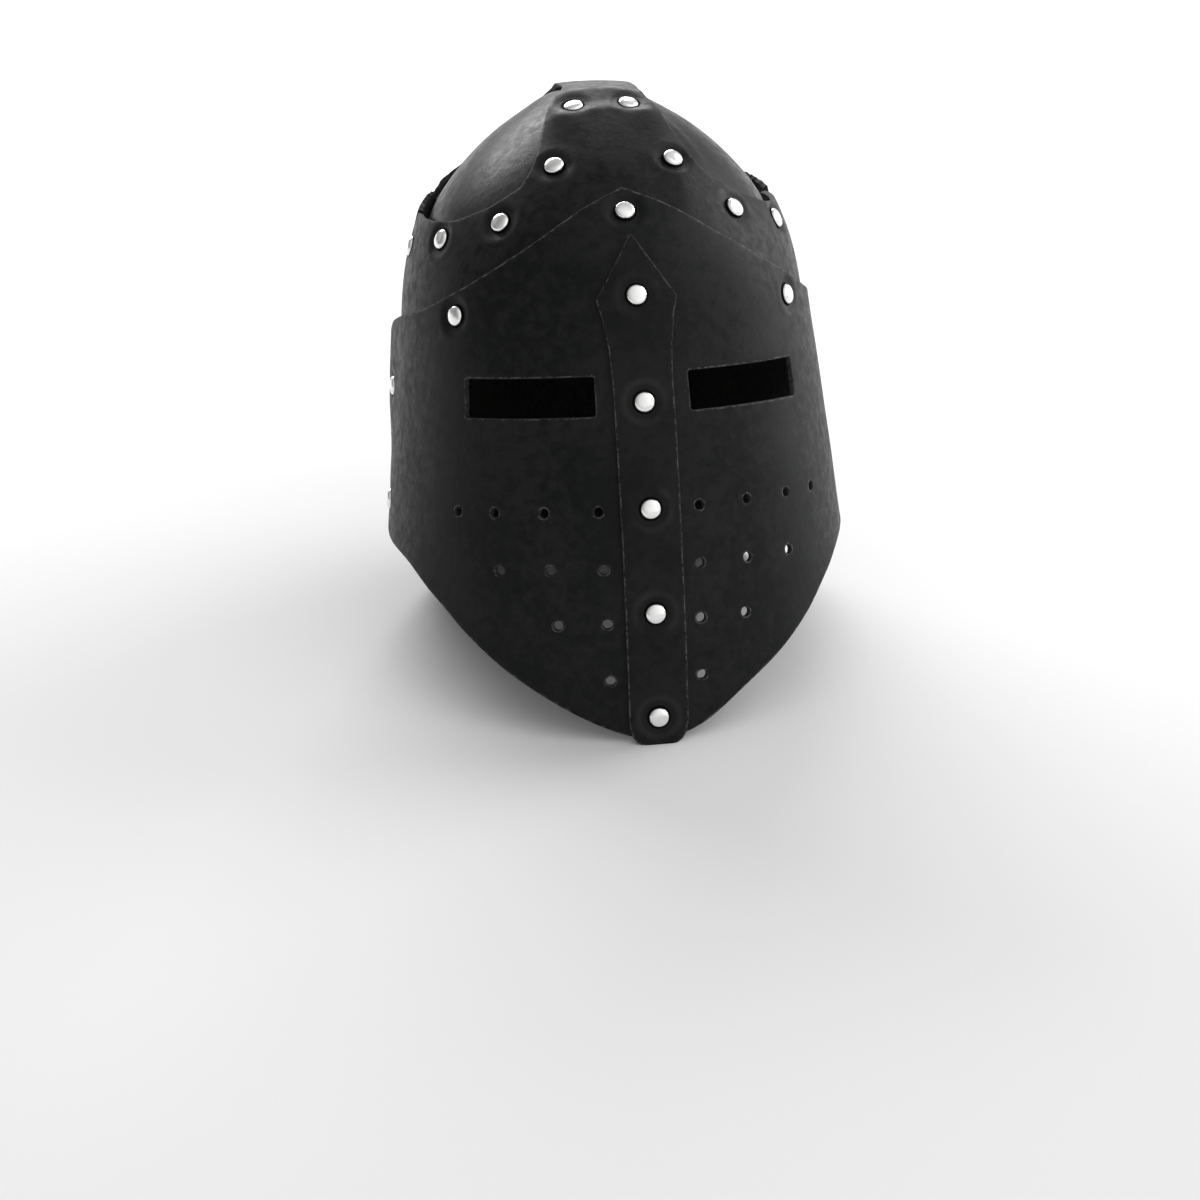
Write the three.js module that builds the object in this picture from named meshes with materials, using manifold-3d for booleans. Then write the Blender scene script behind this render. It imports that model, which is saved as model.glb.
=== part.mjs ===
// Great helm of riveted leather plates.
// Millimetres, +Z up, the face towards -Y. The plates are laid out as the helm is worn, with the chin
// at height 0 and the crown above it, and the finished helm then leans back on its chin and nape,
// which is how it stands on a flat surface. Every plate is bent to one shared form.

import * as THREE from 'three';
import { mergeVertices } from 'three/addons/utils/BufferGeometryUtils.js';
import Module from 'manifold-3d';

const wasm = await Module();
wasm.setup();

// Driving sizes of the form
const CROWN_HEIGHT = 352;
const HALF_WIDTH = 115;
const FACE_DEPTH = 136;
const NAPE_DEPTH = 125;

// Leather and the air between two layers
const LEATHER = 3;
const GAP = 0.4;

// Face plate
const VISOR_WRAP_TURN = 100;
const SIGHT_HEIGHT = 21;
const SIGHT_START = 25.5;
const SIGHT_LENGTH = 64.5;
const BREATH_HOLE = 5;
const BREATH_SIDES = 6;

// Strap down the middle of the face
const STRAP_HALF = 16.4;

// Skull frame and the two panels under it
const CROWN_STRAP_HALF = 20.5;
const FRAME_SEAM = 12;
const PANEL_SPLIT = 6;
const PANEL_REACH = 64;
const PANEL_TUCK = 4.5;

// Back plate
const NAPE_EDGE = 85;
const BACK_START_TURN = 80;

// Rivets
const CAP_RADIUS = 5.6;
const CAP_RISE = 2.7;
const SHANK_RADIUS = 2;
const BURR_RADIUS = 4.4;
const BURR_THICKNESS = 1.2;
const BURR_GAP = 0.9;
const HOLE_CLEARANCE = 0.5;
const RIVET_HOLE_SIDES = 5;
const RIVET_SIDES = 8;

// The chin and the nape are trimmed flat by this much where they meet the surface
const CHIN_FLAT = 0.6;

const LAYER = LEATHER + GAP;
const DEGREE = Math.PI / 180;

// Sections of the form from chin to crown, as shares of the crown height, the half width,
// the depth of the face and the depth of the nape
const SECTIONS = [
  { height: 0.000, side: 1.138, face: 0.879, nape: 0.900 },
  { height: 0.170, side: 1.087, face: 0.962, nape: 0.930 },
  { height: 0.341, side: 1.034, face: 1.000, nape: 0.975 },
  { height: 0.483, side: 0.991, face: 1.000, nape: 1.000 },
  { height: 0.602, side: 0.959, face: 0.979, nape: 0.995 },
  { height: 0.696, side: 0.930, face: 0.941, nape: 0.965 },
  { height: 0.767, side: 0.883, face: 0.868, nape: 0.910 },
  { height: 0.829, side: 0.805, face: 0.754, nape: 0.810 },
  { height: 0.886, side: 0.667, face: 0.625, nape: 0.680 },
  { height: 0.934, side: 0.496, face: 0.467, nape: 0.510 },
  { height: 0.970, side: 0.320, face: 0.309, nape: 0.340 },
  { height: 0.992, side: 0.183, face: 0.184, nape: 0.200 },
  { height: 1.000, side: 0.000, face: 0.000, nape: 0.000 },
];

// Edges of the face plate: the turn from the middle of the face in degrees, and the height as a
// share of the crown height
const VISOR_TOP = [
  { turn: 0, height: 0.838 },
  { turn: 13, height: 0.810 },
  { turn: 30, height: 0.758 },
  { turn: 50, height: 0.704 },
  { turn: 68, height: 0.670 },
  { turn: 92, height: 0.646 },
  { turn: 100, height: 0.618 },
];
const VISOR_BOTTOM = [
  { turn: 0, height: 0.003 },
  { turn: 11, height: 0.030 },
  { turn: 22, height: 0.074 },
  { turn: 34, height: 0.124 },
  { turn: 45, height: 0.175 },
  { turn: 55, height: 0.224 },
  { turn: 70, height: 0.276 },
  { turn: 92, height: 0.311 },
  { turn: 100, height: 0.336 },
];

// Half width of the face strap along its length, as a share of its plain half width
const STRAP_OUTLINE = [
  { height: 0.003, half: 0.45 },
  { height: 0.011, half: 0.76 },
  { height: 0.024, half: 0.93 },
  { height: 0.045, half: 1.00 },
  { height: 0.300, half: 0.99 },
  { height: 0.560, half: 0.99 },
  { height: 0.610, half: 1.04 },
  { height: 0.650, half: 1.16 },
  { height: 0.680, half: 1.32 },
  { height: 0.766, half: 0.06 },
];

// Upper edge of the front of the skull frame, seen from the front: how far out as a share of
// the half width, and the height as a share of the crown height
const FRAME_WINDOW = [
  { out: 0.178, height: 1.000 },
  { out: 0.186, height: 0.990 },
  { out: 0.222, height: 0.974 },
  { out: 0.270, height: 0.954 },
  { out: 0.330, height: 0.918 },
  { out: 0.378, height: 0.886 },
  { out: 0.450, height: 0.856 },
  { out: 0.583, height: 0.830 },
  { out: 0.748, height: 0.808 },
  { out: 0.830, height: 0.806 },
  { out: 0.880, height: 0.815 },
];

// Front edge of the rear of the skull frame, seen from the side: how far back of the middle as a
// share of the nape depth, and the height as a share of the crown height
const REAR_EDGE = [
  { back: 0.100, height: 0.818 },
  { back: 0.190, height: 0.829 },
  { back: 0.260, height: 0.841 },
  { back: 0.320, height: 0.856 },
  { back: 0.380, height: 0.874 },
  { back: 0.430, height: 0.893 },
  { back: 0.455, height: 0.915 },
  { back: 0.440, height: 0.935 },
  { back: 0.380, height: 0.957 },
  { back: 0.280, height: 0.980 },
  { back: 0.180, height: 0.997 },
];

// Levels of the plates' edges, as shares of the crown height
const FRAME_FOOT = 0.602;
const PANEL_FOOT = 0.682;
const BACK_TOP = 0.662;
const BACK_DIP_TURN = 35;
const BACK_SIDE_RISE = 25;
const SIGHT_FOOT = 0.509;

// Breath holes: the height of each row as a share of the crown height, and how far each hole
// stands from the middle as a share of the half width
const BREATH_ROWS = [
  { height: 0.3655, out: [0.236, 0.477, 0.688, 0.841] },
  { height: 0.2775, out: [0.226, 0.465, 0.686] },
  { height: 0.1940, out: [0.220, 0.443] },
  { height: 0.1060, out: [0.217] },
];

// Rivets: the turn from the middle of the face, the height as a share of the crown height, the
// plate under the cap and the innermost plate. Those off the middle are set on both sides.
const RIVETS = [
  { name: 'strap_1', turn: 0, height: 0.684, outer: 'strap', inner: 'frame' },
  { name: 'strap_2', turn: 0, height: 0.527, outer: 'strap', inner: 'visor' },
  { name: 'strap_3', turn: 0, height: 0.367, outer: 'strap', inner: 'visor' },
  { name: 'strap_4', turn: 0, height: 0.208, outer: 'strap', inner: 'visor' },
  { name: 'strap_5', turn: 0, height: 0.048, outer: 'strap', inner: 'visor' },
  { name: 'peak', turn: 0, height: 0.805, outer: 'visor', inner: 'frame' },
  { name: 'brow', turn: 52.8, height: 0.663, outer: 'visor', inner: 'frame' },
  { name: 'front_1', turn: 21.3, height: 0.964, outer: 'frame', inner: 'panel' },
  { name: 'front_2', turn: 24.0, height: 0.881, outer: 'frame', inner: 'panel' },
  { name: 'front_3', turn: 40.2, height: 0.801, outer: 'frame', inner: 'panel' },
  { name: 'front_4', turn: 64.9, height: 0.777, outer: 'frame', inner: 'panel' },
  { name: 'front_5', turn: 91.0, height: 0.762, outer: 'frame', inner: 'panel' },
  { name: 'rear_1', turn: 158.7, height: 0.964, outer: 'frame', inner: 'panel' },
  { name: 'rear_2', turn: 136.0, height: 0.880, outer: 'frame', inner: 'panel' },
  { name: 'rear_3', turn: 114.0, height: 0.829, outer: 'frame', inner: 'panel' },
  { name: 'rear_4', turn: 104.0, height: 0.762, outer: 'frame', inner: 'panel' },
  { name: 'nape', turn: 180, height: 0.633, outer: 'frame', inner: 'back' },
  { name: 'nape_side', turn: 130, height: 0.633, outer: 'frame', inner: 'back' },
  { name: 'seam_upper', turn: 94, height: 0.542, outer: 'visor', inner: 'back' },
  { name: 'seam_lower', turn: 94, height: 0.362, outer: 'visor', inner: 'back' },
];

// Smooth curve through the rows of a table
function curveThrough(rows, key, column, at) {
  const last = rows.length - 1;
  let i = 0;
  while (i < last - 1 && rows[i + 1][key] < at) i += 1;
  const slope = (a, b) => (rows[b][column] - rows[a][column]) / (rows[b][key] - rows[a][key]);
  const tangent = (k) => (k === 0 ? slope(0, 1) : k === last ? slope(last - 1, last) : slope(k - 1, k + 1));
  const span = rows[i + 1][key] - rows[i][key];
  const s = THREE.MathUtils.clamp((at - rows[i][key]) / span, 0, 1);
  const s2 = s * s;
  const s3 = s2 * s;
  return (2 * s3 - 3 * s2 + 1) * rows[i][column] + (s3 - 2 * s2 + s) * span * tangent(i)
    + (3 * s2 - 2 * s3) * rows[i + 1][column] + (s3 - s2) * span * tangent(i + 1);
}

// Section of the form at a step counted in rows of the table, smooth over the crown
function sectionAt(step) {
  const last = SECTIONS.length - 1;
  const row = (k) => {
    if (k < 0) return SECTIONS[0];
    if (k <= last) return SECTIONS[k];
    const far = SECTIONS[2 * last - k];
    return { height: far.height, side: -far.side, face: -far.face, nape: -far.nape };
  };
  const k = Math.min(Math.floor(step), last);
  const s = step - k;
  const blend = (column) => {
    const [a, b, c, d] = [row(k - 1), row(k), row(k + 1), row(k + 2)].map((r) => r[column]);
    return 0.5 * (2 * b + (c - a) * s + (2 * a - 5 * b + 4 * c - d) * s * s
      + (3 * b - a - 3 * c + d) * s * s * s);
  };
  return {
    height: blend('height') * CROWN_HEIGHT,
    side: blend('side') * HALF_WIDTH,
    face: blend('face') * FACE_DEPTH,
    nape: blend('nape') * NAPE_DEPTH,
  };
}

// Step at which the form reaches a height given as a share of the crown height
function stepAt(share) {
  let low = 0;
  let high = SECTIONS.length - 1;
  for (let i = 0; i < 40; i += 1) {
    const middle = (low + high) / 2;
    if (sectionAt(middle).height < share * CROWN_HEIGHT) low = middle;
    else high = middle;
  }
  return (low + high) / 2;
}

function bareForm(turn, step) {
  const section = sectionAt(step);
  const depth = Math.cos(turn) > 0 ? section.face : section.nape;
  return new THREE.Vector3(section.side * Math.sin(turn), -depth * Math.cos(turn), section.height);
}

function formNormal(turn, step) {
  const nudge = 1e-3;
  const crown = SECTIONS.length - 1;
  if (step > crown - 2 * nudge) return new THREE.Vector3(0, 0, 1);
  const around = bareForm(turn + nudge, step).sub(bareForm(turn - nudge, step));
  const upward = bareForm(turn, step + nudge).sub(bareForm(turn, Math.max(step - nudge, 0)));
  return around.cross(upward).normalize();
}

// Point at a distance out from the form
function formPoint(turn, step, out) {
  return bareForm(turn, step).addScaledVector(formNormal(turn, step), out);
}

// Turn at which a point of the form stands this far from the middle plane
function turnAt(across, share) {
  return Math.asin(across / (sectionAt(stepAt(share)).side + 2 * LAYER));
}

// The back plate lies against the face plate below the first step and under the frame above the second
const TUCK_START = 3.6;
const TUCK_END = 4;

// Outer face of each plate, as a distance out from the form
const OUTER_FACE = {
  panel: (turn, step) => -PANEL_TUCK * (bareForm(turn, step).x / HALF_WIDTH) ** 2,
  back: (turn, step) => LAYER * THREE.MathUtils.clamp((TUCK_END - step) / (TUCK_END - TUCK_START), 0, 1),
  frame: () => LAYER,
  visor: () => 2 * LAYER,
  strap: () => 3 * LAYER,
};

// Solids
function toSolid(geometry) {
  const bare = geometry.clone();
  bare.deleteAttribute('normal');
  bare.deleteAttribute('uv');
  const merged = mergeVertices(bare, 1e-4);
  const corners = merged.index.array;
  const kept = [];
  for (let i = 0; i < corners.length; i += 3) {
    const [a, b, c] = corners.slice(i, i + 3);
    if (a !== b && b !== c && c !== a) kept.push(a, b, c);
  }
  return new wasm.Manifold(new wasm.Mesh({
    numProp: 3,
    vertProperties: new Float32Array(merged.attributes.position.array),
    triVerts: new Uint32Array(kept),
  }));
}

function toGeometry(solid) {
  const mesh = solid.getMesh();
  const geometry = new THREE.BufferGeometry();
  geometry.setAttribute('position', new THREE.BufferAttribute(mesh.vertProperties, 3));
  geometry.setIndex(new THREE.BufferAttribute(mesh.triVerts, 1));
  geometry.computeVertexNormals();
  return geometry;
}

function moveVertices(geometry, place) {
  const position = geometry.attributes.position;
  const vertex = new THREE.Vector3();
  for (let i = 0; i < position.count; i += 1) {
    vertex.fromBufferAttribute(position, i);
    const moved = place(vertex);
    position.setXYZ(i, moved.x, moved.y, moved.z);
  }
  return geometry;
}

// All plates are bent on one grid of turns and steps, so that plates that lie on each other have the
// same facets and stay the same distance apart
const TURN_PITCH = 10;
const CROWN_STEP = SECTIONS.length - 1;
const HALF_STEPS_FROM = 5;
const HALF_STEPS_TO = 9;
const GRID_STEPS = SECTIONS.flatMap((row, i) => {
  if (i === Math.floor(TUCK_START)) return [i, TUCK_START];
  return i >= HALF_STEPS_FROM && i <= HALF_STEPS_TO ? [i, i + 0.5] : [i];
});

function gridBetween(low, high, lines) {
  return [low, ...lines.filter((line) => line > low + 0.02 && line < high - 0.02), high];
}

function turnsBetween(low, high) {
  const lines = Array.from({ length: 97 }, (_, i) => (i - 48) * TURN_PITCH);
  return gridBetween(low, high, lines);
}

// Point on the flat facet between two lines of the grid
function facetPoint(turn, step, outAt) {
  const above = GRID_STEPS.findIndex((line) => line >= step);
  if (above <= 0) return formPoint(turn, step, outAt(turn, step));
  const [low, high] = [GRID_STEPS[above - 1], GRID_STEPS[above]];
  const start = formPoint(turn, low, outAt(turn, low));
  return start.lerp(formPoint(turn, high, outAt(turn, high)), (step - low) / (high - low));
}

// Sheet of leather bent to the form, between the turns given and between two edges that are steps
// at each turn. Its rows lie on the lines of the grid that both edges leave free.
function bentSheet(turns, edgesAt, outAt) {
  const edges = turns.map(edgesAt);
  const lowest = Math.min(...edges.map((edge) => edge.low));
  const highest = Math.max(...edges.map((edge) => edge.high));
  const steps = gridBetween(lowest, highest, GRID_STEPS);
  const slab = new THREE.BoxGeometry(1, 1, 1, turns.length - 1, steps.length - 1, 1);
  return toSolid(moveVertices(slab, (v) => {
    const column = Math.round((v.x + 0.5) * (turns.length - 1));
    const row = Math.round((v.y + 0.5) * (steps.length - 1));
    const turn = turns[column] * DEGREE;
    const step = THREE.MathUtils.clamp(steps[row], edges[column].low, edges[column].high);
    return facetPoint(turn, step, (t, s) => outAt(t, s) - LEATHER * (0.5 - v.z));
  }));
}

// Domed block up to a distance out from the form, from below the frame to the crown
function domeBlock(outAt) {
  const foot = Math.floor(stepAt(FRAME_FOOT)) - 1;
  const lines = GRID_STEPS.filter((step) => step >= foot && step < CROWN_STEP);
  const profile = [
    new THREE.Vector2(0, foot),
    ...lines.map((step) => new THREE.Vector2(1, step)),
    new THREE.Vector2(0, CROWN_STEP),
  ];
  const lathe = new THREE.LatheGeometry(profile, 360 / TURN_PITCH);
  return toSolid(moveVertices(lathe, (v) => {
    const step = v.y;
    if (Math.hypot(v.x, v.z) < 0.5) {
      const rise = step === CROWN_STEP ? outAt(0, CROWN_STEP) : 0;
      return new THREE.Vector3(0, 0, sectionAt(step).height + rise);
    }
    const turn = Math.atan2(v.x, v.z);
    return formPoint(turn, step, outAt(turn, step));
  }));
}

function box(from, to) {
  const size = new THREE.Vector3().subVectors(to, from);
  const middle = new THREE.Vector3().addVectors(from, to).multiplyScalar(0.5);
  const block = new THREE.BoxGeometry(size.x, size.y, size.z);
  return toSolid(block.translate(middle.x, middle.y, middle.z));
}

// Pin along the normal of the form, from a depth inside it to a height outside it
function pin(turn, step, radius, from, to, sides) {
  const cylinder = new THREE.CylinderGeometry(radius, radius, to - from, sides);
  cylinder.translate(0, (from + to) / 2, 0);
  const up = new THREE.Vector3(0, 1, 0);
  cylinder.applyQuaternion(new THREE.Quaternion().setFromUnitVectors(up, formNormal(turn, step)));
  const seat = bareForm(turn, step);
  return toSolid(cylinder.translate(seat.x, seat.y, seat.z));
}

// Every rivet once for each side that it stands on
const rivets = RIVETS.flatMap((row) => {
  const onMiddle = [{ sign: 1, suffix: '' }];
  const onBothSides = [{ sign: -1, suffix: '_left' }, { sign: 1, suffix: '_right' }];
  const sides = row.turn % 180 === 0 ? onMiddle : onBothSides;
  return sides.map(({ sign, suffix }) => ({
    ...row,
    name: `rivet_${row.name}${suffix}`,
    turn: sign * row.turn * DEGREE,
    step: stepAt(row.height),
  }));
});

// Plates from the outside in, which says what a rivet passes through
const LAYER_ORDER = ['strap', 'visor', 'frame', 'back', 'panel'];

function punch(plate, solid) {
  const depth = LAYER_ORDER.indexOf(plate);
  let punched = solid;
  for (const rivet of rivets) {
    const crosses = LAYER_ORDER.indexOf(rivet.outer) <= depth && LAYER_ORDER.indexOf(rivet.inner) >= depth;
    if (!crosses) continue;
    const face = OUTER_FACE[plate](rivet.turn, rivet.step);
    const hole = pin(rivet.turn, rivet.step, SHANK_RADIUS + HOLE_CLEARANCE,
      face - 2 * LEATHER, face + LEATHER, RIVET_HOLE_SIDES);
    punched = punched.subtract(hole);
  }
  return punched;
}

// Lean of the helm when it stands on its chin and its nape
const chin = facetPoint(0, stepAt(VISOR_BOTTOM[0].height), () => OUTER_FACE.visor() - LEATHER);
const nape = facetPoint(Math.PI, stepAt(NAPE_EDGE / CROWN_HEIGHT), () => LAYER);
const LEAN = Math.atan2(nape.z - chin.z, nape.y - chin.y);
const helm = new THREE.Group();
helm.rotation.x = -LEAN;
helm.position.z = -chin.clone().applyEuler(helm.rotation).z - CHIN_FLAT;
helm.updateMatrix();

// What lies under the surface that the helm stands on
const REACH = 3 * CROWN_HEIGHT;
const ground = toSolid(new THREE.BoxGeometry(REACH, REACH, REACH)
  .translate(0, 0, -REACH / 2)
  .applyMatrix4(helm.matrix.clone().invert()));

// Face plate, with its sights and breath holes
function makeVisor() {
  const outer = OUTER_FACE.visor();
  let solid = bentSheet(turnsBetween(-VISOR_WRAP_TURN, VISOR_WRAP_TURN), (turn) => ({
    low: stepAt(curveThrough(VISOR_BOTTOM, 'turn', 'height', Math.abs(turn))),
    high: stepAt(curveThrough(VISOR_TOP, 'turn', 'height', Math.abs(turn))),
  }), OUTER_FACE.visor);
  const sightFoot = stepAt(SIGHT_FOOT);
  const sightTop = stepAt(SIGHT_FOOT + SIGHT_HEIGHT / CROWN_HEIGHT);
  for (const side of [-1, 1]) {
    const ends = [SIGHT_START, SIGHT_START + SIGHT_LENGTH].map((x) => side * turnAt(x, SIGHT_FOOT));
    const [first, second] = side > 0 ? ends : ends.reverse();
    const slab = new THREE.BoxGeometry(1, 1, 1, 6, 1, 1);
    const sight = toSolid(moveVertices(slab, (v) => formPoint(
      THREE.MathUtils.lerp(first, second, v.x + 0.5),
      THREE.MathUtils.lerp(sightFoot, sightTop, v.y + 0.5),
      outer + LEATHER * (3 * v.z - 0.5),
    )));
    solid = solid.subtract(sight);
    for (const row of BREATH_ROWS) {
      for (const out of row.out) {
        const turn = side * turnAt(out * HALF_WIDTH, row.height);
        const step = stepAt(row.height);
        const hole = pin(turn, step, BREATH_HOLE / 2, outer - 2 * LEATHER, outer + LEATHER, BREATH_SIDES);
        solid = solid.subtract(hole);
      }
    }
  }
  return punch('visor', solid).subtract(ground);
}

// Strap riveted down the middle of the face. Its rows are those of its outline and of the grid.
function makeStrap() {
  const outer = OUTER_FACE.strap();
  const rows = STRAP_OUTLINE.map((row) => ({ step: stepAt(row.height), half: row.half * STRAP_HALF }));
  const ends = [rows[0].step, rows[rows.length - 1].step];
  const lines = GRID_STEPS.filter((line) => line > ends[0] && line < ends[1]);
  const steps = [...rows.map((row) => row.step), ...lines].sort((a, b) => a - b);
  const halfAt = (step) => {
    const i = Math.max(rows.findIndex((row) => row.step >= step), 1);
    return THREE.MathUtils.mapLinear(step, rows[i - 1].step, rows[i].step, rows[i - 1].half, rows[i].half);
  };
  const slab = new THREE.BoxGeometry(1, 1, 1, 2, steps.length - 1, 1);
  const solid = toSolid(moveVertices(slab, (v) => {
    const step = steps[Math.round((v.y + 0.5) * (steps.length - 1))];
    const across = 2 * v.x * halfAt(step);
    const turn = Math.asin(across / (sectionAt(step).side + outer));
    return facetPoint(turn, step, () => outer - LEATHER * (0.5 - v.z));
  }));
  return punch('strap', solid).subtract(ground);
}

// Closed outline pushed along an axis, from one distance to another
function prism(points, from, to, alongX) {
  const shape = new THREE.Shape(points.map(([a, b]) => new THREE.Vector2(a, b)));
  const block = new THREE.ExtrudeGeometry(shape, { depth: to - from, bevelEnabled: false });
  block.translate(0, 0, from);
  if (alongX) {
    block.applyMatrix4(new THREE.Matrix4().makeBasis(
      new THREE.Vector3(0, 1, 0), new THREE.Vector3(0, 0, 1), new THREE.Vector3(1, 0, 0)));
  } else {
    block.applyMatrix4(new THREE.Matrix4().makeBasis(
      new THREE.Vector3(-1, 0, 0), new THREE.Vector3(0, 0, 1), new THREE.Vector3(0, 1, 0)));
  }
  return toSolid(block);
}

const frameShell = domeBlock(() => LAYER).subtract(domeBlock(() => GAP));

// Front of the skull frame: brow band, two arms and the strap up to the crown
function makeFrameFront() {
  const foot = FRAME_FOOT * CROWN_HEIGHT;
  const above = CROWN_HEIGHT + 4 * LAYER;
  const wide = 1.5 * HALF_WIDTH;
  const window = FRAME_WINDOW.map((row) => [row.out * HALF_WIDTH, row.height * CROWN_HEIGHT]);
  const lastRise = window[window.length - 1][1];
  const right = [[window[0][0], above], ...window, [wide, lastRise], [wide, foot]];
  const left = right.map(([x, z]) => [-x, z]).reverse();
  const outline = prism([...right, ...left], -2 * FACE_DEPTH, FRAME_SEAM, false);
  return punch('frame', frameShell.intersect(outline));
}

// Rear of the skull frame, with the strap from the crown down the back
function makeFrameRear() {
  const foot = FRAME_FOOT * CROWN_HEIGHT;
  const above = CROWN_HEIGHT + 4 * LAYER;
  const start = FRAME_SEAM + GAP;
  const far = 2 * NAPE_DEPTH;
  const wide = 1.5 * HALF_WIDTH;
  const edge = REAR_EDGE.map((row) => [Math.max(row.back * NAPE_DEPTH, start), row.height * CROWN_HEIGHT]);
  const sides = prism([[start, foot], [far, foot], [far, above], [edge[edge.length - 1][0], above],
    ...edge.reverse()], -wide, wide, true);
  const strap = box(new THREE.Vector3(-CROWN_STRAP_HALF, start, 0.9 * CROWN_HEIGHT),
    new THREE.Vector3(CROWN_STRAP_HALF, far, above));
  return punch('frame', frameShell.intersect(sides.add(strap)));
}

// The two domed panels that close the skull under the frame
const panelShell = domeBlock(OUTER_FACE.panel)
  .subtract(domeBlock((turn, step) => OUTER_FACE.panel(turn, step) - LEATHER));

function makePanel(side) {
  const foot = PANEL_FOOT * CROWN_HEIGHT;
  const above = CROWN_HEIGHT + 4 * LAYER;
  const inner = side * PANEL_SPLIT;
  const outer = side * 1.5 * HALF_WIDTH;
  const half = box(new THREE.Vector3(Math.min(inner, outer), -2 * FACE_DEPTH, foot),
    new THREE.Vector3(Math.max(inner, outer), PANEL_REACH, above));
  return punch('panel', panelShell.intersect(half));
}

// Plain plate round the back, under the rear edges of the face plate and under the frame
function makeBack() {
  const belowNape = NAPE_EDGE - 4 * LEATHER;
  const sideEdge = NAPE_EDGE + BACK_SIDE_RISE;
  const top = stepAt(BACK_TOP);
  const solid = bentSheet(turnsBetween(BACK_START_TURN, 360 - BACK_START_TURN), (turn) => {
    const fromNape = Math.abs(turn - 180);
    const rise = THREE.MathUtils.smoothstep(fromNape, BACK_DIP_TURN, 180 - BACK_START_TURN);
    return { low: stepAt(THREE.MathUtils.lerp(belowNape, sideEdge, rise) / CROWN_HEIGHT), high: top };
  }, OUTER_FACE.back);
  return punch('back', solid).subtract(ground);
}

// Domed rivet cap, shank and peened inner end in one turned piece
function makeRivet(rivet) {
  const outer = OUTER_FACE[rivet.outer](rivet.turn, rivet.step) + GAP;
  const inner = OUTER_FACE[rivet.inner](rivet.turn, rivet.step) - LEATHER - BURR_GAP;
  const profile = [
    [0, inner - BURR_THICKNESS],
    [BURR_RADIUS, inner],
    [SHANK_RADIUS, inner],
    [SHANK_RADIUS, outer],
    [CAP_RADIUS, outer],
    [0.72 * CAP_RADIUS, outer + 0.72 * CAP_RISE],
    [0, outer + CAP_RISE],
  ].map(([radius, height]) => new THREE.Vector2(radius, height));
  return new THREE.LatheGeometry(profile, RIVET_SIDES);
}

// Materials
const leather = () => new THREE.MeshStandardMaterial({ color: 0x1c1b1b, roughness: 0.55, metalness: 0 });
const nickel = () => new THREE.MeshStandardMaterial({ color: 0xd4d4d2, roughness: 0.22, metalness: 1 });

function addPlate(name, solid) {
  const mesh = new THREE.Mesh(toGeometry(solid), leather());
  mesh.name = name;
  helm.add(mesh);
}

addPlate('visor', makeVisor());
addPlate('nasal_strap', makeStrap());
addPlate('skull_frame_front', makeFrameFront());
addPlate('skull_frame_rear', makeFrameRear());
addPlate('dome_panel_left', makePanel(-1));
addPlate('dome_panel_right', makePanel(1));
addPlate('back_plate', makeBack());

for (const rivet of rivets) {
  const mesh = new THREE.Mesh(makeRivet(rivet), nickel());
  mesh.name = rivet.name;
  mesh.position.copy(bareForm(rivet.turn, rivet.step));
  const up = new THREE.Vector3(0, 1, 0);
  mesh.quaternion.setFromUnitVectors(up, formNormal(rivet.turn, rivet.step));
  helm.add(mesh);
}

// The origin is under the middle of the standing helm
const group = new THREE.Group();
group.add(helm);
group.updateMatrixWorld(true);
const middle = new THREE.Box3().setFromObject(group, true).getCenter(new THREE.Vector3());
helm.position.x -= middle.x;
helm.position.y -= middle.y;

export default group;
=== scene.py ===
"""Great helm of riveted black leather, standing by itself on a pale floor."""

import math

import bpy
import numpy as np
from mathutils import Matrix, Vector, kdtree
from mathutils.geometry import delaunay_2d_cdt


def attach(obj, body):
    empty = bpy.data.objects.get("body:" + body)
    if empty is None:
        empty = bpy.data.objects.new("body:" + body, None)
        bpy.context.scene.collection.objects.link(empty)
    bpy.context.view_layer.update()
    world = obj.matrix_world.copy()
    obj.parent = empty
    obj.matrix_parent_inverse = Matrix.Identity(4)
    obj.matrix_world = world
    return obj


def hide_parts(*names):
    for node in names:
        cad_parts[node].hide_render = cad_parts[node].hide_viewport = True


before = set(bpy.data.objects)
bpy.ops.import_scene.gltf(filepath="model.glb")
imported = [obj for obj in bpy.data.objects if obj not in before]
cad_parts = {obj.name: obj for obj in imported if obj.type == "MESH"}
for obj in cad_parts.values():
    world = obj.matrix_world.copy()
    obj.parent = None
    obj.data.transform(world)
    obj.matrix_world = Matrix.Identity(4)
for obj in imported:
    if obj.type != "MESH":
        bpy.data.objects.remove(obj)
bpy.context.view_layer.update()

# The camera meets the face as it meets a helm that is worn: from slightly to one side and a little
# above. A helm that is put down leans back on its chin and nape, so the camera is turned back with
# it and ends up looking down at the floor.
LEAN = math.radians(18.6659)
STAND = Vector((0.0, -0.036631, -0.041392))
helm_place = Matrix.Translation(STAND) @ Matrix.Rotation(-LEAN, 4, "X")


def view_of_face(aside, above, roll, distance, aim):
    across = Vector((math.cos(aside), -math.sin(aside), 0.0))
    upward = Vector((math.sin(above) * math.sin(aside), math.sin(above) * math.cos(aside), math.cos(above)))
    outward = across.cross(upward)
    right = math.cos(roll) * across - math.sin(roll) * upward
    up = math.sin(roll) * across + math.cos(roll) * upward
    turn = Matrix((right, up, outward)).transposed().to_4x4()
    return Matrix.Translation(aim + outward * distance) @ turn


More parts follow.
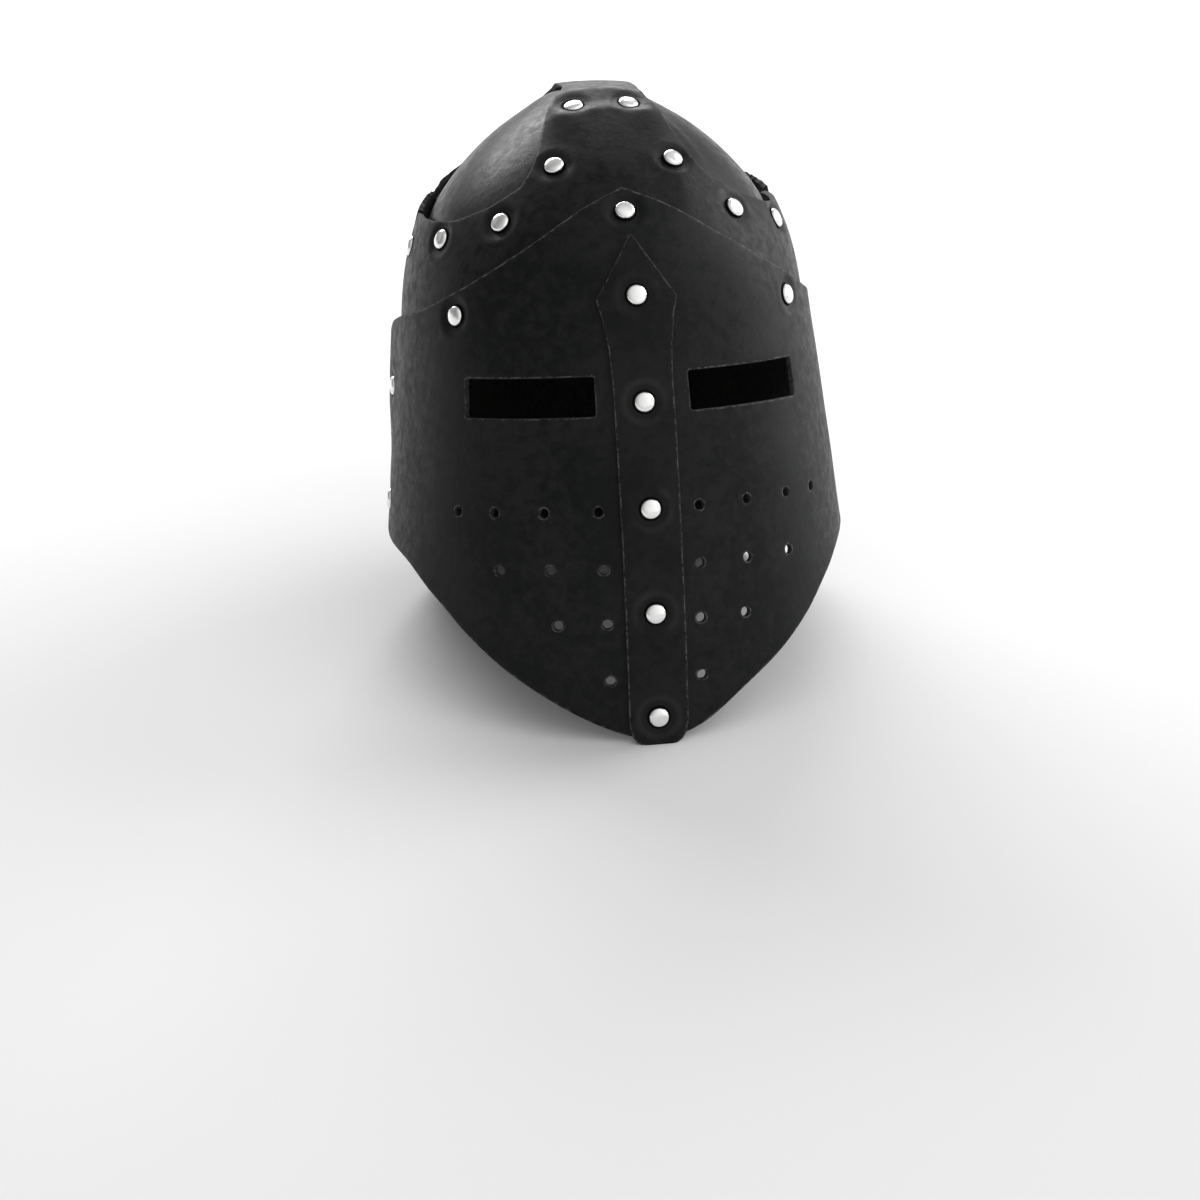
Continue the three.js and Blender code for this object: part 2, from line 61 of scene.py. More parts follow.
lens = bpy.data.cameras.new("face_view")
lens.sensor_width = 36.0
lens.lens = 138.84
lens.shift_x = -0.0052
lens.shift_y = -0.1733
lens.clip_start = 0.1
lens.clip_end = 50.0
face_view = bpy.data.objects.new("face_view", lens)
bpy.context.scene.collection.objects.link(face_view)
face_view.matrix_world = helm_place @ view_of_face(
    math.radians(7.917), math.radians(5.0), math.radians(3.3), 2.6, Vector((0, 0, 0.180)))
bpy.context.scene.camera = face_view

# A plain pale floor in a pale room that is brightest in front of the helm and to the right of the
# picture. One large light stands low behind the crown, one at the right and a faint one at the left,
# so that the black leather shows its bends.
bpy.context.scene.view_settings.view_transform = "Standard"
FLOOR_COLOUR = (0.76, 0.76, 0.76, 1.0)
ROOM_BRIGHTNESS = 0.52
FRONT_BRIGHTNESS = 0.90
FRONT = (-0.13, -0.90, 0.41)
LEFT_SHARE = 0.50
RIGHT_SHARE = 1.45
RANGE_SOCKETS = ("From Min", "From Max", "To Min", "To Max")


def set_range(shader_node, *limits):
    for socket, limit in zip(RANGE_SOCKETS, limits):
        shader_node.inputs[socket].default_value = limit


floor_mesh = bpy.data.meshes.new("floor")
floor_mesh.from_pydata([(-9, -9, 0), (9, -9, 0), (9, 9, 0), (-9, 9, 0)], [], [(0, 1, 2, 3)])
floor_paint = bpy.data.materials.new("floor paint")
floor_paint.use_nodes = True
floor_shader = floor_paint.node_tree.nodes["Principled BSDF"]
floor_shader.inputs["Base Color"].default_value = FLOOR_COLOUR
floor_shader.inputs["Roughness"].default_value = 0.9
floor_shader.inputs["Specular IOR Level"].default_value = 0.1
floor_mesh.materials.append(floor_paint)
floor = bpy.data.objects.new("floor", floor_mesh)
bpy.context.scene.collection.objects.link(floor)

room = bpy.data.worlds.new("pale room")
room.use_nodes = True
room_nodes = room.node_tree.nodes
room_links = room.node_tree.links
towards = room_nodes.new("ShaderNodeTexCoord")
front = room_nodes.new("ShaderNodeVectorMath")
front.operation = "DOT_PRODUCT"
front.inputs[1].default_value = FRONT
room_links.new(towards.outputs["Generated"], front.inputs[0])
glow = room_nodes.new("ShaderNodeMapRange")
glow.interpolation_type = "SMOOTHSTEP"
set_range(glow, 0.10, 0.62, ROOM_BRIGHTNESS, FRONT_BRIGHTNESS)
room_links.new(front.outputs["Value"], glow.inputs["Value"])
sideways = room_nodes.new("ShaderNodeSeparateXYZ")
room_links.new(towards.outputs["Generated"], sideways.inputs[0])
drape = room_nodes.new("ShaderNodeMapRange")
set_range(drape, -0.7, 0.7, LEFT_SHARE, RIGHT_SHARE)
room_links.new(sideways.outputs["X"], drape.inputs["Value"])
brightness = room_nodes.new("ShaderNodeMath")
brightness.operation = "MULTIPLY"
room_links.new(glow.outputs["Result"], brightness.inputs[0])
room_links.new(drape.outputs["Result"], brightness.inputs[1])
room_links.new(brightness.outputs["Value"], room_nodes["Background"].inputs["Strength"])
room_nodes["Background"].inputs["Color"].default_value = (1.0, 1.0, 1.0, 1.0)
bpy.context.scene.world = room


def soft_light(name, place, aim, size, watts):
    lamp = bpy.data.lights.new(name, "AREA")
    lamp.shape = "RECTANGLE"
    lamp.size = size[0]
    lamp.size_y = size[1]
    lamp.energy = watts
    light = bpy.data.objects.new(name, lamp)
    bpy.context.scene.collection.objects.link(light)
    light.location = place
    light.rotation_euler = (Vector(aim) - Vector(place)).to_track_quat("-Z", "Y").to_euler()


soft_light("light behind the crown", (-0.3, 2.7, 1.5), (0, 0, 0.2), (3.0, 1.2), 100.0)
soft_light("light from the right", (2.3, 0.8, 1.2), (0, 0, 0.15), (1.6, 2.2), 44.0)
soft_light("light from the left", (-2.2, 1.5, 1.2), (0, 0, 0.2), (1.2, 1.6), 1.0)

# Face plate: one sheet of 3 mm leather wrapped round the face from side to side, with a peak at the
# top, a point at the chin, two sights and the breath holes. It is cut flat, punched, bent wet to
# the same form as the other plates, and its cut edges are rubbed smooth and dyed.
CROWN_HEIGHT = 0.352
HALF_WIDTH = 0.115
FACE_DEPTH = 0.136
NAPE_DEPTH = 0.125
LEATHER = 0.003
AIR = 0.0004
LAYER = LEATHER + AIR

# Height, side, face and nape of the form from chin to crown, as shares of the four sizes above
SECTIONS = np.array([
    (0.000, 1.138, 0.879, 0.900),
    (0.170, 1.087, 0.962, 0.930),
    (0.341, 1.034, 1.000, 0.975),
    (0.483, 0.991, 1.000, 1.000),
    (0.602, 0.959, 0.979, 0.995),
    (0.696, 0.930, 0.941, 0.965),
    (0.767, 0.883, 0.868, 0.910),
    (0.829, 0.805, 0.754, 0.810),
    (0.886, 0.667, 0.625, 0.680),
    (0.934, 0.496, 0.467, 0.510),
    (0.970, 0.320, 0.309, 0.340),
    (0.992, 0.183, 0.184, 0.200),
    (1.000, 0.000, 0.000, 0.000),
]) * (CROWN_HEIGHT, HALF_WIDTH, FACE_DEPTH, NAPE_DEPTH)
CROWN_STEP = len(SECTIONS) - 1
PAST_CROWN = SECTIONS[[-2, -3]] * (1, -1, -1, -1)
SECTION_ROWS = np.vstack([SECTIONS[:1], SECTIONS, PAST_CROWN])


def section_at(step):
    step = np.asarray(step, float)
    k = np.clip(np.floor(step).astype(int), 0, CROWN_STEP)
    s = (step - k)[..., None]
    a, b, c, d = (SECTION_ROWS[np.minimum(k + i, len(SECTION_ROWS) - 1)] for i in range(4))
    cubic = (3 * b - a - 3 * c + d) * s ** 3
    return 0.5 * (2 * b + (c - a) * s + (2 * a - 5 * b + 4 * c - d) * s ** 2 + cubic)


def bare_form(turn, step):
    height, side, face, nape = np.moveaxis(section_at(step), -1, 0)
    depth = np.where(np.cos(turn) > 0, face, nape)
    return np.stack([side * np.sin(turn), -depth * np.cos(turn), height], -1)


def form_normal(turn, step):
    nudge = 1e-3
    around = bare_form(turn + nudge, step) - bare_form(turn - nudge, step)
    upward = bare_form(turn, step + nudge) - bare_form(turn, step - nudge)
    normal = np.cross(around, upward)
    normal[np.asarray(step) > CROWN_STEP - 2 * nudge] = (0, 0, 1)
    return normal / np.linalg.norm(normal, axis=-1, keepdims=True)


STEP_LADDER = np.linspace(0, CROWN_STEP, 4801)
HEIGHT_LADDER = section_at(STEP_LADDER)[:, 0]


def step_at(height):
    return np.interp(height, HEIGHT_LADDER, STEP_LADDER)


# A wrapped plate is drawn flat as the length round the form and the height
WRAP_RADIUS = 0.125


def wrapped(flat):
    return flat[:, 0] / WRAP_RADIUS, step_at(flat[:, 1])


def table_curve(rows, at):
    rows = np.asarray(rows, float)
    xs, ys = rows.T
    slope = np.empty(len(xs))
    slope[1:-1] = (ys[2:] - ys[:-2]) / (xs[2:] - xs[:-2])
    slope[0] = (ys[1] - ys[0]) / (xs[1] - xs[0])
    slope[-1] = (ys[-1] - ys[-2]) / (xs[-1] - xs[-2])
    i = np.clip(np.searchsorted(xs, at) - 1, 0, len(xs) - 2)
    span = xs[i + 1] - xs[i]
    s = np.clip((at - xs[i]) / span, 0, 1)
    return ((2 * s ** 3 - 3 * s ** 2 + 1) * ys[i] + (s ** 3 - 2 * s ** 2 + s) * span * slope[i]
            + (3 * s ** 2 - 2 * s ** 3) * ys[i + 1] + (s ** 3 - s ** 2) * span * slope[i + 1])


def short_steps(loop, pitch):
    pieces = []
    for start, end in zip(loop, np.roll(loop, -1, axis=0)):
        count = max(1, math.ceil(np.linalg.norm(end - start) / pitch))
        pieces.append(start + (end - start) * np.arange(count)[:, None] / count)
    return np.concatenate(pieces)


def short_steps_all(loops, pitch):
    return np.concatenate([short_steps(loop, pitch) for loop in loops])


def inside_loops(points, loops):
    crossings = np.zeros(len(points), int)
    for loop in loops:
        (ax, ay), (bx, by) = loop.T, np.roll(loop, -1, axis=0).T
        rise = np.where(by == ay, 1e-12, by - ay)
        for k in range(0, len(points), 3000):
            x, y = points[k:k + 3000, :1], points[k:k + 3000, 1:]
            spans = (ay > y) != (by > y)
            crossings[k:k + 3000] += (spans & (x < ax + (y - ay) * (bx - ax) / rise)).sum(axis=1)
    return crossings % 2 == 1


def nearest_gap(points, targets):
    tree = kdtree.KDTree(len(targets))
    for i, target in enumerate(targets):
        tree.insert((*target, 0.0), i)
    tree.balance()
    return np.array([tree.find((*point, 0.0))[2] for point in points])


# How far the grid stays from the border, as a share of its pitch, and how flat a triangle at the
# border may be before it is dropped, since a flatter one can turn over when the plate is bent
GRID_MARGIN = 0.6
SLIVER_SHARE = 0.12


def cut_flat(loops, pitch):
    """Triangles that fill the flat outline of a plate and leave its holes free."""
    border = np.concatenate(loops)
    starts = np.cumsum([0] + [len(loop) for loop in loops])
    links = []
    for start, loop in zip(starts, loops):
        links += [(start + i, start + (i + 1) % len(loop)) for i in range(len(loop))]
    low, high = border.min(axis=0), border.max(axis=0)
    rows = np.arange(low[1], high[1], pitch * 0.866)
    columns = np.arange(low[0], high[0], pitch)
    grid_y, grid_x = np.meshgrid(rows, columns, indexing="ij")
    grid_x = grid_x + (np.arange(len(rows)) % 2)[:, None] * pitch / 2
    grid = np.stack([grid_x.ravel(), grid_y.ravel()], -1)
    grid = grid[inside_loops(grid, loops)]
    grid = grid[nearest_gap(grid, short_steps_all(loops, pitch / 3)) > GRID_MARGIN * pitch]
    for _ in range(2):
        corners = [Vector(point) for point in np.concatenate([border, grid])]
        points, _, faces, *_ = delaunay_2d_cdt(corners, links, [], 0, 1e-8, False)
        flat = np.array([point[:] for point in points])
        faces = np.array(faces)
        at_border = (nearest_gap(flat, border) < 1e-6)[faces].all(axis=1)
        middles = flat[faces].mean(axis=1)
        ax, ay = (flat[faces[:, 1]] - flat[faces[:, 0]]).T
        bx, by = (flat[faces[:, 2]] - flat[faces[:, 0]]).T
        longest = np.max([np.hypot(ax, ay), np.hypot(bx, by), np.hypot(ax - bx, ay - by)], axis=0)
        kept = ~at_border
        kept[at_border] = inside_loops(middles[at_border], loops)
        kept &= ~at_border | (np.abs(ax * by - ay * bx) > SLIVER_SHARE * pitch * longest)
        grid = np.concatenate([grid, middles[kept & at_border]])
    used, faces = np.unique(faces[kept], return_inverse=True)
    return flat[used], faces.reshape(-1, 3)


EDGE_ROUND = 0.00042
BACK_ROUND = 0.0003
HAND_WAVE = 0.052
HAND_DEPTH = 0.00022

# The leather dips from the rim of each rivet's cap outwards, and swells a little in a ring round it
CAP_RIM = 0.0055
DIMPLE_REACH = 0.0042
SWELL_SHARE = 0.17
SWELL_RADIUS = 0.0118
SWELL_WIDTH = 0.0024
FAR_AWAY = 0.05


def standing(points):
    """Points of the helm in its own frame, moved to where it stands on the floor."""
    return (np.array(helm_place.to_3x3()) @ points.T).T + np.array(STAND)


def hand_bend(base):
    """Gentle unevenness left by bending the wet leather over the form by hand."""
    x, y, z = base.T / HAND_WAVE
    wave = (np.sin(2.1 * x + 1.3 * z + 0.4) * np.cos(1.7 * y - 0.9 * z)
            + 0.6 * np.sin(3.7 * x - 2.6 * z + 1.9)
            + 0.5 * np.cos(3.1 * y + 2.9 * z - 0.8)
            + 0.35 * np.sin(6.1 * z + 4.3 * x - 2.0 * y))
    return HAND_DEPTH * wave * np.clip((base[:, 2] - 0.02) / 0.05, 0, 1)


def bend_plate(name, loops, lay, face, finishes, rivets=(), lift=None, press=None, pitch=0.0021):
    """Leather plate with real thickness, rounded cut edges and a dimple round each rivet."""
    flat, faces = cut_flat([short_steps(np.asarray(loop), pitch) for loop in loops], pitch)
    turn, step = lay(flat)
    base = bare_form(turn, step)
    normal = form_normal(turn, step)
    raised = face(turn, step) + hand_bend(base) + (lift(base, turn, step) if lift else 0.0)
    pressed = press(base, turn, step) if press else np.zeros(len(flat))
    rivet_gap = np.full(len(flat), FAR_AWAY)
    for rivet in rivets:
        away = np.linalg.norm(base + normal * rivet["outer"] - rivet["seat"], axis=1)
        past_rim = np.maximum(away - CAP_RIM, 0)
        pressed = pressed - rivet["dimple"] * np.exp(-(past_rim / DIMPLE_REACH) ** 2)
        swell = np.exp(-((away - SWELL_RADIUS) / SWELL_WIDTH) ** 2)
        pressed = pressed + SWELL_SHARE * rivet["dimple"] * swell
        rivet_gap = np.minimum(rivet_gap, away)
    outer = base + normal * (raised + pressed)[:, None]
    inner = base + normal * (raised - LEATHER)[:, None]
    count = len(flat)
    sides = np.concatenate([faces[:, [0, 1]], faces[:, [1, 2]], faces[:, [2, 0]]])
    ahead = sides[:, 0] * count + sides[:, 1]
    behind = sides[:, 1] * count + sides[:, 0]
    rim = sides[~np.isin(ahead, behind)]
    following = dict(rim)
    leading = {b: a for a, b in rim}
    rim_points = sorted(following)
    order = {point: i for i, point in enumerate(rim_points)}
    onward = np.array([outer[following[p]] - outer[leading[p]] for p in rim_points])
    outward = np.cross(onward, normal[rim_points])
    outward /= np.linalg.norm(outward, axis=1, keepdims=True)
    quarter = np.radians([0, 30, 60, 90])
    profile = [(-EDGE_ROUND * (1 - math.sin(q)), EDGE_ROUND * (1 - math.cos(q))) for q in quarter]
    profile += [(-BACK_ROUND * (1 - math.sin(q)), LEATHER - BACK_ROUND * (1 - math.cos(q)))
                for q in quarter[::-1]]
    top, bottom = outer[rim_points].copy(), inner[rim_points].copy()
    rings = [top + (bottom - top) * (depth / LEATHER) + outward * aside for aside, depth in profile]
    outer[rim_points] = rings[0]
    inner[rim_points] = rings[-1]
    points = np.concatenate([outer, inner, *rings[1:-1]])
    placed = standing(points)
    placed[:, 2] = np.maximum(placed[:, 2], 0.0)
    ring_count = len(rim_points)

    def ring_point(k, point):
        if k == 0:
            return point
        if k == len(profile) - 1:
            return count + point
        return 2 * count + (k - 1) * ring_count + order[point]

    walls = [
        (ring_point(k, a), ring_point(k + 1, a), ring_point(k + 1, b), ring_point(k, b))
        for k in range(len(profile) - 1) for a, b in rim
    ]
    mesh = bpy.data.meshes.new(name)
    mesh.from_pydata(placed.tolist(), [], faces.tolist() + (faces[:, ::-1] + count).tolist() + walls)
    kind = np.repeat([0, 2, 1], [len(faces), len(faces), len(walls)]).astype(np.int32)
    mesh.polygons.foreach_set("material_index", kind)
    mesh.polygons.foreach_set("use_smooth", np.ones(len(kind), bool))
    edge = np.zeros(len(points), np.float32)
    edge[:count] = np.minimum(nearest_gap(flat, short_steps_all(loops, pitch / 3)), FAR_AWAY)
    edge[count:2 * count] = edge[:count]
    mesh.attributes.new("from_edge", "FLOAT", "POINT").data.foreach_set("value", edge)
    gap = np.full(len(points), FAR_AWAY, np.float32)
    gap[:count] = rivet_gap
    mesh.attributes.new("from_rivet", "FLOAT", "POINT").data.foreach_set("value", gap)
    for finish in finishes:
        mesh.materials.append(finish)
    mesh.update()
    plate = bpy.data.objects.new(name + "_leather", mesh)
    bpy.context.scene.collection.objects.link(plate)
    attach(plate, "root")
    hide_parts(name)


def node(tree, kind, place, **settings):
    made = tree.nodes.new(kind)
    made.location = place
    for key, value in settings.items():
        setattr(made, key, value)
    return made


def sums(tree, how, place, first, second):
    made = node(tree, "ShaderNodeMath", place, operation=how)
    for socket, value in zip(made.inputs, (first, second)):
        if isinstance(value, (int, float)):
            socket.default_value = value
        else:
            tree.links.new(value, socket)
    return made.outputs[0]


def noise(tree, where, place, scale, detail, rough=0.5):
    made = node(tree, "ShaderNodeTexNoise", place)
    made.inputs["Scale"].default_value = scale
    made.inputs["Detail"].default_value = detail
    made.inputs["Roughness"].default_value = rough
    tree.links.new(where, made.inputs["Vector"])
    return made.outputs["Fac"]


def spread(tree, value, place, from_low, from_high, to_low, to_high):
    made = node(tree, "ShaderNodeMapRange", place, interpolation_type="SMOOTHSTEP")
    set_range(made, from_low, from_high, to_low, to_high)
    tree.links.new(value, made.inputs["Value"])
    return made.outputs["Result"]


def blend_colour(tree, factor, place, first, second):
    made = node(tree, "ShaderNodeMix", place, data_type="RGBA")
    tree.links.new(factor, made.inputs["Factor"])
    for socket, value in ((made.inputs["A"], first), (made.inputs["B"], second)):
        if isinstance(value, tuple):
            socket.default_value = (*value, 1.0)
        else:
            tree.links.new(value, socket)
    return made.outputs["Result"]


def bump(tree, height, place, strength, distance, below=None):
    made = node(tree, "ShaderNodeBump", place)
    made.inputs["Strength"].default_value = strength
    made.inputs["Distance"].default_value = distance
    tree.links.new(height, made.inputs["Height"])
    if below is not None:
        tree.links.new(below, made.inputs["Normal"])
    return made.outputs["Normal"]


# Distances in metres from the cut edge, or from the middle of a rivet, between which a mark fades
# Lighter grain along the cut edge: partly rubbed wear, partly a painted edge highlight
EDGE_RUB_AND_HIGHLIGHT = (0.0001, 0.0011)
# Painted shadow: the leather turns black in a ring up to about 6.5 mm from each rivet's middle, where the cap
# meets it
PAINTED_SHADOW_EDGE = (0.0063, 0.0070)
# Painted highlight: a pale, uneven ring on the swell round each rivet, 8.5 to 14.5 mm from its middle
HIGHLIGHT_RING_START = (0.0085, 0.0108)
HIGHLIGHT_RING_END = (0.0112, 0.0145)
RUBBED_AND_HIGHLIGHT_COLOUR = (0.088, 0.086, 0.083)
PAINTED_HIGHLIGHT_COLOUR = (0.034, 0.033, 0.032)
PAINTED_SHADOW_COLOUR = (0.0006, 0.0006, 0.0006)


def grain_leather(name, dark, pale, rough_low, rough_high, wrinkle=0.38):
    """Black dyed and waxed grain side: fine pores, faint wrinkles, greyer where it is rubbed along the cut
    edge (partly a painted edge highlight), with a painted highlight ring and a painted black shadow ring
    round each rivet.
    """
    finish = bpy.data.materials.new(name)
    finish.use_nodes = True
    tree = finish.node_tree
    shader = tree.nodes["Principled BSDF"]
    where = node(tree, "ShaderNodeTexCoord", (-1500, 0)).outputs["Object"]
    clouds = noise(tree, where, (-1200, 300), 22.0, 4.0, 0.6)
    mottled = noise(tree, where, (-1200, 100), 160.0, 5.0, 0.65)
    pores = noise(tree, where, (-1200, -300), 1500.0, 3.0, 0.6)
    tone = sums(tree, "ADD", (-950, 250), sums(tree, "MULTIPLY", (-1050, 300), clouds, 0.45),
                sums(tree, "MULTIPLY", (-1050, 100), mottled, 0.55))
    shade = spread(tree, tone, (-800, 250), 0.40, 0.61, 0.0, 1.0)
    colour = blend_colour(tree, shade, (-600, 250), dark, pale)
    from_edge = node(tree, "ShaderNodeAttribute", (-1200, 600), attribute_name="from_edge").outputs["Fac"]
    scuff = noise(tree, where, (-1200, 800), 260.0, 4.0, 0.7)
    # Grain within about a millimetre of the cut edge made lighter and broken up by noise: rubbed wear and a
    # painted edge highlight
    rubbed_and_highlight = sums(tree, "MULTIPLY", (-700, 600),
                  spread(tree, from_edge, (-950, 600), *EDGE_RUB_AND_HIGHLIGHT, 1.0, 0.0),
                  spread(tree, scuff, (-950, 800), 0.44, 0.62, 0.0, 1.0))
    colour = blend_colour(tree, rubbed_and_highlight, (-400, 350), colour, RUBBED_AND_HIGHLIGHT_COLOUR)
    from_rivet = node(tree, "ShaderNodeAttribute", (-1200, 1000), attribute_name="from_rivet").outputs["Fac"]
    # Painted highlight ring round each rivet, lighter than the leather and broken up by the cloud noise
    painted_highlight_ring = sums(tree, "MULTIPLY", (-700, 1200),
                spread(tree, from_rivet, (-950, 1150), *HIGHLIGHT_RING_START, 0.0, 1.0),
                spread(tree, from_rivet, (-950, 1350), *HIGHLIGHT_RING_END, 1.0, 0.0))
    uneven = spread(tree, clouds, (-700, 1400), 0.42, 0.62, 0.02, 0.34)
    painted_highlight_ring = sums(tree, "MULTIPLY", (-500, 1200), painted_highlight_ring, uneven)
    colour = blend_colour(tree, painted_highlight_ring, (-300, 700), colour, PAINTED_HIGHLIGHT_COLOUR)
    # Painted shadow: near-black leather round the rim of each cap, which is also made fully rough
    painted_shadow = spread(tree, from_rivet, (-900, 1000), *PAINTED_SHADOW_EDGE, 1.0, 0.0)
    colour = blend_colour(tree, painted_shadow, (-200, 500), colour, PAINTED_SHADOW_COLOUR)
    tree.links.new(colour, shader.inputs["Base Color"])
    roughness = spread(tree, mottled, (-600, 0), 0.3, 0.7, rough_low, rough_high)
    tree.links.new(sums(tree, "MAXIMUM", (-200, 100), roughness, painted_shadow), shader.inputs["Roughness"])
    stretch = node(tree, "ShaderNodeMapping", (-1350, -600))
    stretch.inputs["Scale"].default_value = (1.0, 1.0, 0.35)
    tree.links.new(where, stretch.inputs["Vector"])
    lines = noise(tree, stretch.outputs["Vector"], (-1150, -600), 240.0, 6.0, 0.62)
    wrinkled = bump(tree, lines, (-500, -500), wrinkle, 0.0005)
    bumped = bump(tree, pores, (-300, -400), 0.26, 0.00025, wrinkled)
    tree.links.new(bumped, shader.inputs["Normal"])
    shader.inputs["Specular IOR Level"].default_value = 0.13
    return finish


def cut_leather(name, dark=(0.009, 0.0088, 0.0086), pale=(0.042, 0.040, 0.038)):
    """Cut and burnished edge: fibres packed in layers, dyed but worn to a grey brown."""
    finish = bpy.data.materials.new(name)
    finish.use_nodes = True
    tree = finish.node_tree
    shader = tree.nodes["Principled BSDF"]
    where = node(tree, "ShaderNodeTexCoord", (-1100, 0)).outputs["Object"]
    fibres = noise(tree, where, (-900, 0), 420.0, 5.0, 0.7)
    shade = spread(tree, fibres, (-700, 0), 0.38, 0.66, 0.0, 1.0)
    colour = blend_colour(tree, shade, (-500, 0), dark, pale)
    tree.links.new(colour, shader.inputs["Base Color"])
    tree.links.new(bump(tree, fibres, (-300, -200), 0.4, 0.0004), shader.inputs["Normal"])
    shader.inputs["Roughness"].default_value = 0.72
    shader.inputs["Specular IOR Level"].default_value = 0.25
    return finish


def flesh_leather(name):
    """Raw inner side of the hide: black dyed nap with short loose fibres."""
    finish = bpy.data.materials.new(name)
    finish.use_nodes = True
    tree = finish.node_tree
    shader = tree.nodes["Principled BSDF"]
    where = node(tree, "ShaderNodeTexCoord", (-1100, 0)).outputs["Object"]
    nap = noise(tree, where, (-900, 0), 520.0, 8.0, 0.75)
    patches = noise(tree, where, (-900, 250), 45.0, 4.0, 0.6)
    tone = sums(tree, "ADD", (-700, 100), sums(tree, "MULTIPLY", (-800, 0), nap, 0.6),
                sums(tree, "MULTIPLY", (-800, 250), patches, 0.4))
    colour = blend_colour(tree, spread(tree, tone, (-600, 100), 0.35, 0.65, 0.0, 1.0), (-400, 100),
                          (0.005, 0.0047, 0.0045), (0.020, 0.0185, 0.017))
    tree.links.new(colour, shader.inputs["Base Color"])
    tree.links.new(bump(tree, nap, (-300, -200), 0.7, 0.0008), shader.inputs["Normal"])
    shader.inputs["Roughness"].default_value = 0.95
    shader.inputs["Specular IOR Level"].default_value = 0.12
    shader.inputs["Sheen Weight"].default_value = 0.12
    shader.inputs["Sheen Roughness"].default_value = 0.5
    return finish


cut_edge = cut_leather("cut edge of the leather")
flesh_side = flesh_leather("flesh side of the leather")
face_grain = grain_leather("grain side of the face plate", (0.0032, 0.0037, 0.0041),
                           (0.0106, 0.0108, 0.0107), 0.37, 0.57, wrinkle=0.28)

# Turn from the middle of the face in degrees, and height as a share of the crown height
VISOR_TOP = [(0, 0.838), (13, 0.810), (30, 0.758), (50, 0.704), (68, 0.670), (92, 0.646), (100, 0.618)]
VISOR_BOTTOM = [(0, 0.003), (11, 0.030), (22, 0.074), (34, 0.124), (45, 0.175), (55, 0.224), (70, 0.276),
                (92, 0.311), (100, 0.336)]
VISOR_WRAP = 100

# The lower edge is cut a little askew: between chin and cheeks it is turned aside by this, in degrees
VISOR_SKEW = 2.0
VISOR_SPRING = 0.0022
SIGHT_FOOT = 0.509
SIGHT_HEIGHT = 0.021
SIGHT_START = 0.0255
SIGHT_LENGTH = 0.0645
SIGHT_CORNER = 0.0009
BREATH_HOLE = 0.0026

# Height of each row of breath holes, and how far each hole stands from the middle
BREATH_ROWS = [
    (0.3655, (0.236, 0.477, 0.688, 0.841)),
    (0.2775, (0.226, 0.465, 0.686)),
    (0.1940, (0.220, 0.443)),
    (0.1060, (0.217,)),
]

helm_rivets = []


def smooth_share(value, low, high):
    share = np.clip((value - low) / (high - low), 0, 1)
    return share * share * (3 - 2 * share)


def visor_lift(base, turn, step):
    """The ends of the face plate spring away from the frame a little over the ears."""
    return VISOR_SPRING * smooth_share(np.abs(turn), 1.48, 1.73) * smooth_share(base[:, 2], 0.150, 0.185)


def place_rivets(rows, cap_plate, burr_plate):
    """Rivets through the plates, each with its seat on the form and the depth of its dimple."""
    placed = []
    for name, turn, height, dimple in rows:
        sides = [(1, "")] if turn % 180 == 0 else [(-1, "_left"), (1, "_right")]
        for sign, suffix in sides:
            at = np.array([sign * math.radians(turn)]), step_at(np.array([height * CROWN_HEIGHT]))
            seat, normal = bare_form(*at)[0], form_normal(*at)[0]
            outer, inner = float(cap_plate(*at)[0]), float(burr_plate(*at)[0]) - LEATHER
            placed.append({"name": f"rivet_{name}{suffix}", "seat": seat + normal * outer, "normal": normal,
                           "outer": outer, "inner": inner, "dimple": dimple * 0.001})
    helm_rivets.extend(placed)
    return placed


def level(distance):
    return lambda turn, step: np.full(np.shape(turn), distance)


def back_face(turn, step):
    return LAYER * np.clip((4.0 - step) / 0.4, 0, 1)


def panel_face(turn, step):
    return -0.0045 * (bare_form(turn, step)[..., 0] / HALF_WIDTH) ** 2


frame_face = level(LAYER)
visor_face = level(2 * LAYER)
strap_face = level(3 * LAYER)


def wrap_turn(across, height, out):
    side = section_at(step_at(height))[..., 1] + out
    return np.arcsin(across / side)


def visor_loops():
    turns = np.linspace(-VISOR_WRAP, VISOR_WRAP, 201)
    across = np.radians(turns) * WRAP_RADIUS
    top = np.stack([across, table_curve(VISOR_TOP, abs(turns)) * CROWN_HEIGHT], -1)
    cheeks = smooth_share(abs(turns), 6, 26) * (1 - smooth_share(abs(turns), 60, 80))
    askew_turns = abs(turns + VISOR_SKEW * cheeks)
    low = np.stack([across, table_curve(VISOR_BOTTOM, askew_turns) * CROWN_HEIGHT], -1)
    loops = [np.concatenate([low, top[::-1]])]
    foot = SIGHT_FOOT * CROWN_HEIGHT
    brow = foot + SIGHT_HEIGHT
    corner = SIGHT_CORNER
    sight_ends = np.array([SIGHT_START, SIGHT_START + SIGHT_LENGTH])
    for side in (-1, 1):
        left, right = sorted(wrap_turn(sight_ends, foot, 2 * LAYER) * WRAP_RADIUS * side)
        loops.append(np.array([
            (left + corner, foot), (right - corner, foot), (right, foot + corner), (right, brow - corner),
            (right - corner, brow), (left + corner, brow), (left, brow - corner), (left, foot + corner),
        ]))
        for height, row in BREATH_ROWS:
            for out in row:
                level_height = height * CROWN_HEIGHT
                middle = side * wrap_turn(out * HALF_WIDTH, level_height, 2 * LAYER) * WRAP_RADIUS
                around = np.radians(np.arange(0, 360, 22.5))
                loops.append(np.stack([middle + BREATH_HOLE * np.cos(around),
                                       level_height + BREATH_HOLE * np.sin(around)], -1))
    return loops


